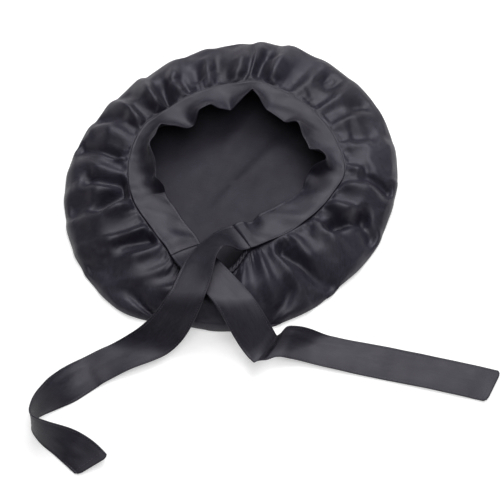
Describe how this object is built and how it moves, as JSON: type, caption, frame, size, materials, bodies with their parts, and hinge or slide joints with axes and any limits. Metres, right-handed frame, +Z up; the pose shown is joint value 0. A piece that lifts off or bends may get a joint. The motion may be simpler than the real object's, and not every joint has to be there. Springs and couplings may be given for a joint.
{
  "type": "sleep bonnet",
  "caption": "Satin sleep bonnet lying crown down, with a puffed, pleated crown, a wavy band round the opening, a gathered elastic nape edge and long ties.",
  "frame": {"origin": "centre of the crown's flat underside, on the floor", "axes": "+Z up out of the opening, -Y towards the nape edge where the ties leave the band, +X to the right as the picture shows it"},
  "size_m": [0.4632, 0.49, 0.0635],
  "materials": {
    "crown_satin": "soft sheen satin, charcoal",
    "strip_satin": "soft sheen satin, charcoal, two plies",
    "gathered_satin": "gathered satin over elastic, charcoal"
  },
  "bodies": {
    "root": {"crown": "crown_satin", "band": "strip_satin", "nape_casing": "gathered_satin", "tie_left": "strip_satin", "tie_right": "strip_satin"}
  },
  "joints": []
}
